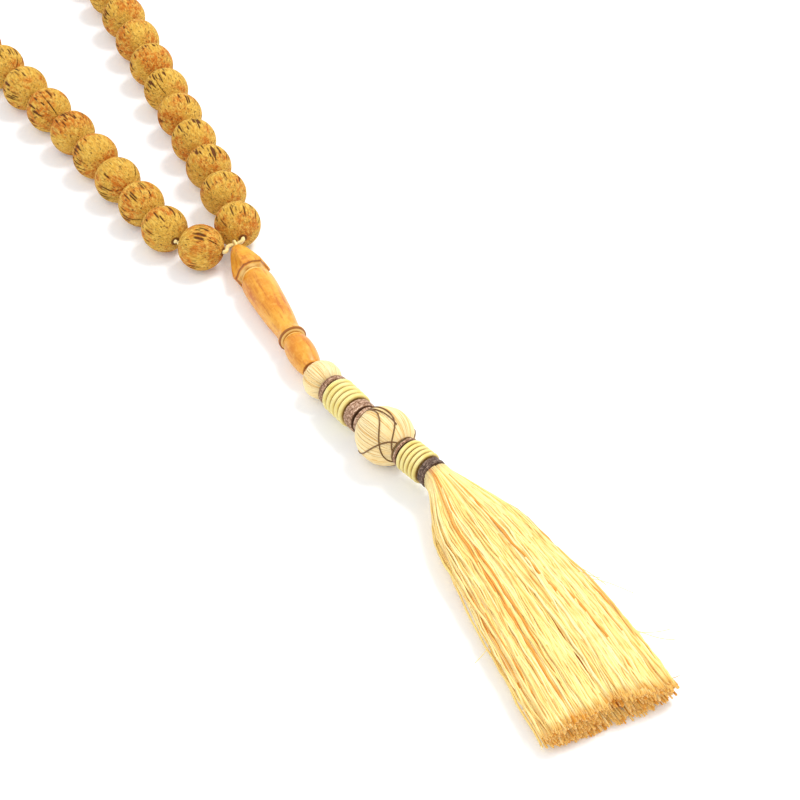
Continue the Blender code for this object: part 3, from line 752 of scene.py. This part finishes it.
def lay_leader_cord(finish):
    """The doubled cord in the leader: it comes up out of the mouth, round the loop's cord, and back down."""
    whole = aim(cap_start, leader_axis)
    reach = CAP_LENGTH + BODY_LENGTH + FOOT_LENGTH + 2 * FIT_GAP + 0.3 * MM
    eye = leader_top + Vector(YOKE_ROUTE[3]) * MM
    down = whole.inverted() @ eye
    radius = 0.34 * MM
    around = CORD_R + radius
    bend = [Vector((0, down.y + around * math.cos(a), down.z - around * math.sin(a)))
            for a in (math.radians(step) for step in range(-30, 211, 20))]
    points = [
        Vector((0, 0.4 * MM, reach)), Vector((0, 0.4 * MM, 6 * MM)), Vector((0, 0.45 * MM, 1.5 * MM)),
        *bend,
        Vector((0, -0.45 * MM, 1.5 * MM)), Vector((0, -0.4 * MM, 6 * MM)), Vector((0, -0.4 * MM, reach)),
    ]
    path = smooth_line([whole @ point for point in points], 0.3 * MM)
    obj = tubes("leader_cord_strand", [path], [round_ends(path, radius)], 8, ply=2,
                ply_turn=2 * math.pi / (1.8 * MM), ply_depth=0.2)
    finish_piece(obj, finish, "leader", "stringing_cord", "leader_cord")


# The tassel's head


def ball_profile(ball):
    """A ball's outline, first end to last, as its radii and its heights along Z from the middle."""
    first = math.asin(ball["end"] / ball["radius"])
    stretch = ball["length"] / 2 / math.cos(first)
    angles = np.linspace(first, math.pi - first, 22)
    radius = ball["radius"] * np.sin(angles)
    height = -stretch * np.cos(angles) * (1 - BALL_TUCK / ball["length"])
    tuck = np.array([0.45, 0.8])
    inner = ball["end"] * tuck
    sunk = ball["length"] / 2 - np.array([0.7, 0.32]) * MM
    return np.concatenate([inner, radius, inner[::-1]]), np.concatenate([-sunk, height, sunk[::-1]])


def wrap_ball(name, ball, body, place, count, finish):
    """A core's silk cover: threads laid from end to end, side by side, over a thin skin of the same silk in
    a deeper tone, as painted shade between the threads.
    """
    rng = np.random.default_rng(count)
    radius, height = ball_profile(ball)
    paths, radii = [], []
    share = np.linspace(0, 1, len(radius))
    for index in range(count):
        start = 2 * math.pi * (index + rng.uniform(-0.35, 0.35)) / count
        sway = (rng.normal(0, 0.022) * np.sin(math.pi * share * rng.uniform(0.8, 2.2))
                + rng.normal(0, 0.02) * share)
        thickness = SILK_R * rng.uniform(0.8, 1.15)
        lift = 0.06 * MM * rng.uniform(-1, 1) * np.sin(math.pi * share)
        r = radius - thickness + lift
        angle = start + sway
        paths.append(np.stack([r * np.cos(angle), r * np.sin(angle), height], 1))
        radii.append(thickness * (0.5 + 0.5 * radius / ball["radius"]))
    obj = tubes(name + "_silk", paths, radii, 4)
    outline = list(zip((radius - 0.25 * MM).tolist(), height.tolist()))
    skin = turned_piece(name + "_skin", outline, 0.8 * MM, 64)
    # The skin takes a deeper tone of the silk: painted shade in the gaps between the threads.
    mark(skin.data, "tone", np.full(len(skin.data.vertices), 0.9))
    join(obj, skin)
    obj.data.transform(place)
    return finish_piece(obj, finish, body, "cream_silk", name)


def mark_gaps(mesh, deep, shallow):
    """Marks how far down between the turns each point of a winding about Z lies, 1 at the deep radius, for
    the painted shade between the turns.
    """
    co = vertices_of(mesh)
    mark(mesh, "burn_and_recess_shade", np.clip((shallow - np.hypot(co[:, 0], co[:, 1])) / (shallow - deep), 0, 1))


def wind_band(name, length, radius, start, body, finish):
    """Tight turns of bronze thread, with some strays wound across them."""
    stray = STRAY_TURNS[name]
    rng = np.random.default_rng(stray)
    thread = BRONZE_R
    turns = max(2.0, length / (1.75 * thread))
    low, high = thread, length - thread
    main = helix(radius - thread, low, high, turns, 40, tuck=0.3 * MM)
    wobble = np.interp(np.linspace(0, 1, len(main)), np.linspace(0, 1, 40), rng.normal(0, 0.035 * MM, 40))
    main[:, :2] *= (1 + wobble / radius)[:, None]
    paths = [main]
    for _ in range(stray):
        ends = np.sort(rng.uniform(low, high, 2))[:: rng.choice((-1, 1))]
        paths.append(helix(radius - 0.4 * thread, ends[0], ends[1], rng.uniform(0.7, 1.6), 40,
                           tuck=0.35 * MM, phase=rng.uniform(*ANY_PHASE)))
    obj = tubes(name + "_thread", paths, [thread] * len(paths), 6)
    backing = turned_piece(name + "_backing", [
        (WINDING_BORE_R + 0.05 * MM, 0.0), (radius - 0.42 * MM, 0.02 * MM), (radius - 0.22 * MM, 0.16 * MM),
        (radius - 0.22 * MM, length - 0.16 * MM), (radius - 0.42 * MM, length - 0.02 * MM),
        (WINDING_BORE_R + 0.05 * MM, length)], WINDING_BORE_R, 48)
    join(obj, backing)
    mark_gaps(obj.data, radius - 1.7 * thread, radius - 0.5 * thread)
    obj.data.transform(start)
    return finish_piece(obj, finish, body, "bronze_thread", name)


def join(obj, *others):
    """Makes other pieces part of this one."""
    bpy.ops.object.select_all(action="DESELECT")
    for other in (*others, obj):
        other.select_set(True)
    bpy.context.view_layer.objects.active = obj
    bpy.ops.object.join()
    bpy.ops.object.select_all(action="DESELECT")


def wind_coil(name, length, radius, start, body, finish):
    """Turns of wrapped cord over a backing. Each turn lies flat, and steps on to the next underneath."""
    cord = COIL_CORD * length / COIL_TURNS
    pitch = (length - 2 * cord) / (COIL_TURNS - 1)
    turns = np.linspace(0, COIL_TURNS, COIL_TURNS * 130 + 1)
    step = np.clip((turns % 1 - 0.82) / 0.18, 0, 1)
    height = cord + pitch * np.minimum(np.floor(turns) + step * step * (3 - 2 * step), COIL_TURNS - 1)
    tuck = 0.6 * cord * np.clip(1 - np.minimum(turns, COIL_TURNS - turns) / 0.12, 0, 1)
    angle = 2 * math.pi * (turns - 0.16)
    reach = radius - cord - tuck
    path = np.stack([reach * np.cos(angle), reach * np.sin(angle), height], 1)
    ribs = np.where(np.arange(len(path)) % 2, 1.0, 0.965)
    obj = tubes(name + "_gimp", [path], [cord * ribs], 12)
    inner = radius - 1.35 * cord
    backing = turned_piece(name + "_backing", [
        (WINDING_BORE_R + 0.05 * MM, 0.3 * MM), (inner, 0.3 * MM), (inner, length - 0.3 * MM),
        (WINDING_BORE_R + 0.05 * MM, length - 0.3 * MM)], WINDING_BORE_R, 48)
    join(obj, backing)
    mark_gaps(obj.data, radius - 1.15 * cord, radius - 0.4 * cord)
    obj.data.transform(start)
    return finish_piece(obj, finish, body, "gimp_cord", name)


# Threads netted over the large ball: the shares of its length where each starts and ends, from the leader's
# end, and its degrees round the ball there. The last number is how late along its run the thread turns.
# Degrees count from NET_ZERO, which is 18 short of the ball's upper side.
NET_ZERO = 72
NET_THREADS = (
    (0.0, 1.0, 25, 150, 4),
    (0.0, 1.0, 10, 90, 9),
    (0.0, 0.8, 25, 15, 1),
    (0.3, 1.0, 135, 45, 1.5),
    (0.0, 1.0, 210, 180, 1),
    (0.0, 1.0, -60, -140, 1),
    (0.0, 1.0, -90, -50, 2),
)


def net_ball(ball, body, place, finish):
    """Thin brown threads crossed over the large ball, held under the windings at each end."""
    radius, height = ball_profile(ball)
    paths = []
    for first, last, turn_from, turn_to, late in NET_THREADS:
        turn = turn_from + (turn_to - turn_from) * np.linspace(0, 1, 40) ** late
        angle = np.radians(turn + NET_ZERO)
        reach = (np.linspace(first, last, 40) - 0.5) * (ball["length"] - 0.4 * MM)
        r = np.interp(reach, height[2:-2], radius[2:-2]) + 0.1 * MM
        paths.append(np.stack([r * np.cos(angle), r * np.sin(angle), reach], 1))
    for end in (-1, 1):
        angle = np.linspace(0, 2 * math.pi, 49)
        r = ball["end"] + 0.25 * MM
        reach = end * (ball["length"] / 2 - 0.2 * MM)
        paths.append(np.stack([r * np.cos(angle), r * np.sin(angle), np.full(49, reach)], 1))
    obj = tubes("ball_net", paths, [NET_R] * len(paths), 6)
    obj.data.transform(place)
    return finish_piece(obj, finish, body, "bronze_thread")


def close_gap(name, at, direction, radius, thread, rings, finish):
    """A few turns of thread over the bare bundle where the tassel bends."""
    half = HINGE_HALF_GAP
    path = helix(radius, -half, half, rings, 40, tuck=0.2 * MM)
    obj = tubes(name, [path], [thread], 6)
    obj.data.transform(aim(at, direction))
    obj.data.materials.append(finish)
    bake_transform(obj)
    return obj


def wind_head(finishes):
    upper, lower = (head_middle - head_start).normalized(), (skirt_root - head_middle).normalized()
    halves = (
        ("silk_ball_1", BALL_1, "head_upper", head_start, upper, UPPER_WINDINGS, 96),
        ("silk_ball_2", BALL_2, "head_lower", head_middle, lower, LOWER_WINDINGS, 138),
    )
    for ball_name, ball, body, at, along, windings, count in halves:
        start = at + along * HINGE_HALF_GAP
        middle = aim(start + along * ball["length"] / 2, along)
        wrap_ball(ball_name, ball, body, middle, count, finishes["silk"])
        if ball is BALL_2:
            net_ball(ball, body, middle, finishes["net"])
        reach = ball["length"] + FIT_GAP
        for name, length, radius in windings:
            place = aim(start + along * reach, along)
            if name.startswith("band"):
                finish = finishes["dull bronze" if name == "band_4" else "bronze"]
                wind_band(name, length, radius, place, body, finish)
            else:
                wind_coil(name, length, radius, place, body, finishes["gimp"])
            reach += length + FIT_GAP
    close_gap("head_bend_thread", head_middle, lower, 2.62 * MM, 0.2 * MM, 3,
              finishes["bronze"])
    close_gap("head_start_thread", head_start, upper, 1.2 * MM, 0.22 * MM, 2,
              finishes["silk"])


# The skirt


def section_at(share):
    """The skirt's side shift, half width, underside and top at shares of its length, in metres."""
    table = np.array(SKIRT_SECTIONS)
    stops, values = table[:, 0], table[:, 1:] * MM
    slopes = np.gradient(values, stops, axis=0)
    index = np.clip(np.searchsorted(stops, share, side="right") - 1, 0, len(stops) - 2)
    width = (stops[index + 1] - stops[index])[:, None]
    t = ((share - stops[index])[:, None] / width).clip(0, 1.1)
    ends = values[index], values[index + 1], width * slopes[index], width * slopes[index + 1]
    return smooth_between(t, *ends).T


def thread_path(across, up, end, rng, wander, steps=20):
    """A thread from the root to its cut end, at its own place across the bunch, slightly crimped."""
    share = np.linspace(0, 1, steps + 1) ** 1.1 * end
    side, half, low, high = section_at(share)
    run = share * SKIRT_LENGTH
    free = np.clip(share / 0.25, 0, 1)
    slow = wander * np.sin(run / rng.uniform(9 * MM, 20 * MM) + rng.uniform(*ANY_PHASE)) * free
    wave = np.sin(run * 2 * math.pi / rng.uniform(7 * MM, 11 * MM) + rng.uniform(*ANY_PHASE))
    crimp = 0.13 * MM * wave * free
    x = skirt_root.x + side + half * across * 0.97 + slow + crimp
    rise = np.sin(run / rng.uniform(7 * MM, 14 * MM) + rng.uniform(*ANY_PHASE))
    lift = 0.5 * crimp + 0.35 * wander * rise * free
    z = low + (high - low) * (0.5 + 0.5 * up) * 0.97 + lift
    y = skirt_root.y + SKIRT_OVERLAP - run
    return np.stack([x, y, np.maximum(z, THREAD_R * 1.02)], 1)


def lay_skirt(finish, shadow_finish):
    rng = np.random.default_rng(2026)
    paths, radii = [], []
    for index in range(SKIRT_THREADS):
        turn = rng.uniform(0, 2 * math.pi)
        if index % 3:
            turn = abs((turn + math.pi / 2) % (2 * math.pi) - math.pi / 2) if rng.random() < 0.75 else turn
            depth = 1 - 0.22 * rng.random() ** 1.5
        else:
            depth = math.sqrt(rng.random()) * 0.95
        across = depth * math.copysign(abs(math.cos(turn)) ** SKIRT_SQUARENESS[0], math.cos(turn))
        up = depth * math.copysign(abs(math.sin(turn)) ** SKIRT_SQUARENESS[1], math.sin(turn))
        notch = 0.022 * math.exp(-(((across - 0.12) / 0.2) ** 2)) * (up > -0.3)
        end = 1.0 - notch + rng.normal(0, 0.007)
        wander = rng.choice((0.2, 0.5, 1.1), p=(0.42, 0.36, 0.22)) * MM
        path = thread_path(across, up, end, rng, wander)
        paths.append(path)
        taper = np.interp(np.linspace(0, 1, len(path)), (0, 0.1, 0.3, 1), (0.62, 0.72, 0.95, 1.0))
        radii.append(THREAD_R * rng.uniform(0.7, 1.3) * taper)
    threads = tubes("skirt_threads", paths, radii, 3)
    threads.data.materials.append(finish)
    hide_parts("skirt")
    strays = stray_fibres(rng)
    strays.data.materials.append(finish)
    inner = skirt_middle()
    inner.data.materials.append(shadow_finish)
    for piece in (threads, strays, inner):
        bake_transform(piece)


# Loose fibres: the share of the skirt's length where each leaves, its side, and its length in millimetres
STRAY_FIBRES = (
    (0.42, 1, 9), (0.47, 1, 6), (0.5, 1, 10), (0.72, 1, 12), (0.75, 1, 9), (0.8, 1, 7),
    (0.6, -1, 8), (0.45, -1, 6), (0.83, -1, 5), (0.3, 1, 6), (0.94, 1, 5), (0.95, -1, 5),
)


def stray_fibres(rng):
    """Loose fine fibres at the skirt's sides and cut end."""
    paths = []
    for start, side, length in STRAY_FIBRES:
        shift, half, low, high = (float(v[0]) for v in section_at(np.array([start])))
        t = np.linspace(0, 1, 14)
        out = side * (0.3 + 0.5 * rng.random())
        curl = rng.uniform(-1.2, 1.2)
        x = (skirt_root.x + shift + side * half * 0.93 + out * length * MM * t
             + 0.3 * MM * np.sin(t * 5 + curl))
        y = skirt_root.y - start * SKIRT_LENGTH - length * MM * t * (0.8 - 0.4 * curl * t)
        z = np.maximum(low + (high - low) * 0.45 + rng.uniform(-2, 2.5) * MM * t, 0.1 * MM)
        paths.append(np.stack([x, y, z], 1))
    return tubes("stray_fibres", paths, [0.08 * MM] * len(paths), 3)


def skirt_middle():
    """The threads deep in the bunch, as one ribbed body in their shadow."""
    shares = np.linspace(0.0, 0.955, 40)
    side, half, low, high = section_at(shares)
    around = 180
    turn = 2 * math.pi * np.arange(around) / around
    out = np.sign(np.cos(turn)) * np.abs(np.cos(turn)) ** SKIRT_SQUARENESS[0]
    up = np.sign(np.sin(turn)) * np.abs(np.sin(turn)) ** SKIRT_SQUARENESS[1]
    ribs = 0.76 + 0.025 * np.cos(turn * 60)
    rings = []
    for i, share in enumerate(shares):
        ring = ribs * min(1.0, 0.55 + share * 5)
        x = skirt_root.x + side[i] + half[i] * out * ring
        z = np.maximum((low[i] + high[i]) / 2 + (high[i] - low[i]) / 2 * up * ring, 0.15 * MM)
        rings.append(np.stack([x, np.full(around, skirt_root.y - share * SKIRT_LENGTH), z], 1))
    points = np.concatenate(rings)
    faces = [
        [i * around + j, i * around + (j + 1) % around,
         (i + 1) * around + (j + 1) % around, (i + 1) * around + j]
        for i in range(len(shares) - 1) for j in range(around)
    ]
    faces.append(list(range(around))[::-1])
    faces.append([(len(shares) - 1) * around + j for j in range(around)])
    mesh = bpy.data.meshes.new("skirt_middle")
    mesh.from_pydata(points.tolist(), [], faces)
    obj = new_object("skirt_middle", mesh)
    bpy.context.view_layer.objects.active = obj
    obj.select_set(True)
    bpy.ops.object.mode_set(mode="EDIT")
    close_piece(obj, 60.0)
    return obj


# The floor, the light and the camera


def set_stage():
    bpy.ops.mesh.primitive_plane_add(size=4.0, location=(0, 0, 0))
    floor = bpy.context.object
    floor.name = "floor"
    material, shader = new_finish("pale_floor", {
        "Roughness": 0.9, "Specular IOR Level": 0.1,
        "Emission Strength": 0.1, "Emission Color": (0.9, 0.95, 1.0, 1.0),
    })
    place = own_place(material)
    greys = (0.0, (0.9, 0.915, 0.94, 1.0)), (1.0, (0.92, 0.935, 0.955, 1.0))
    paint(material, shader, ramp(material, noise(material, place, 30.0, 2.0), *greys))
    floor.data.materials.append(material)

    world = bpy.data.worlds.new("studio")
    bpy.context.scene.world = world
    world.use_nodes = True
    background = world.node_tree.nodes["Background"]
    background.inputs["Color"].default_value = (1.0, 1.0, 1.0, 1.0)
    background.inputs["Strength"].default_value = 0.78

    right = Vector((math.cos(CAMERA_AZIMUTH), math.sin(CAMERA_AZIMUTH), 0))
    back = Vector((-math.sin(CAMERA_AZIMUTH), math.cos(CAMERA_AZIMUTH), 0))
    target = leader_top + CAMERA_AIM
    for name, way, size, energy in (
        ("key", right * 0.45 + back * 0.4 + Vector((0, 0, 1.0)), 0.4, 8.5),
        ("fill", -right * 0.5 - back * 0.5 + Vector((0, 0, 1.0)), 0.9, 4.0),
    ):
        light = bpy.data.lights.new(name, "AREA")
        light.size, light.energy = size, energy
        lamp = new_object(name, light)
        lamp.location = target + way
        lamp.rotation_euler = (target - lamp.location).to_track_quat("-Z", "Y").to_euler()

    camera = bpy.data.cameras.new("camera")
    camera.lens, camera.sensor_width = CAMERA_LENS, 36.0
    camera.clip_start = 0.01
    eye = new_object("camera", camera)
    flat = math.cos(CAMERA_ELEVATION)
    way = Vector((math.sin(CAMERA_AZIMUTH) * flat, -math.cos(CAMERA_AZIMUTH) * flat,
                  math.sin(CAMERA_ELEVATION)))
    eye.location = target + way * CAMERA_DISTANCE
    eye.rotation_euler = (-way).to_track_quat("-Z", "Y").to_euler()
    bpy.context.scene.camera = eye
    bpy.context.scene.view_settings.view_transform = "Standard"


def main():
    bpy.ops.object.select_all(action="DESELECT")
    set_stage()
    bead_wood = pored_wood("bead_wood", tint(238, 198, 94), tint(214, 164, 60),
                           tint(198, 112, 20), tint(106, 58, 16))
    marker_wood = pored_wood("marker_wood", tint(222, 180, 86), tint(196, 146, 54),
                             tint(182, 98, 18), tint(98, 54, 14))
    cord_finish = thread_silk("stringing_silk", tint(250, 236, 190), tint(240, 216, 140),
                              tint(206, 164, 84))[0]
    finishes = {
        "silk": thread_silk("cream_silk", tint(255, 238, 190), tint(253, 228, 168), tint(244, 204, 128),
                            patchy=0.3)[0],
        "bronze": bronze_thread("bronze_thread", tint(122, 86, 60), tint(166, 124, 94), tint(226, 192, 164)),
        "dull bronze": bronze_thread("dull_bronze_thread", tint(74, 56, 46), tint(112, 88, 74),
                                     tint(166, 142, 126)),
        "gimp": gimp_cord(),
        "net": thread_silk("net_thread", tint(138, 98, 46), tint(120, 82, 36), tint(96, 62, 28), 0.0)[0],
    }
    blank = bead_blank()
    for name in strand_order():
        if name.startswith("bead"):
            carve_bead(blank, name, bead_wood)
        else:
            carve_marker(name, marker_wood)
    bpy.data.objects.remove(blank, do_unlink=True)
    carve_leader(satin_wood())
    lay_cords(cord_finish)
    wind_head(finishes)
    skirt_finish = skirt_silk()
    shadow_silk = plain_thread_finish("skirt_shadow_silk", tint(214, 132, 34), tint(156, 82, 20), 900.0)
    lay_skirt(skirt_finish, shadow_silk)
    bundle_silk = plain_thread_finish("bundle_silk", tint(250, 226, 160), tint(214, 168, 92), 1500.0)
    core_wood = plain_thread_finish("core_wood", tint(206, 160, 104), tint(150, 104, 58), 700.0)
    for name in ("bundle_upper", "bundle_lower", "core_1", "core_2"):
        slots = frame["nodes"][name].data.materials
        slots.clear()
        slots.append(bundle_silk if name.startswith("bundle") else core_wood)


main()
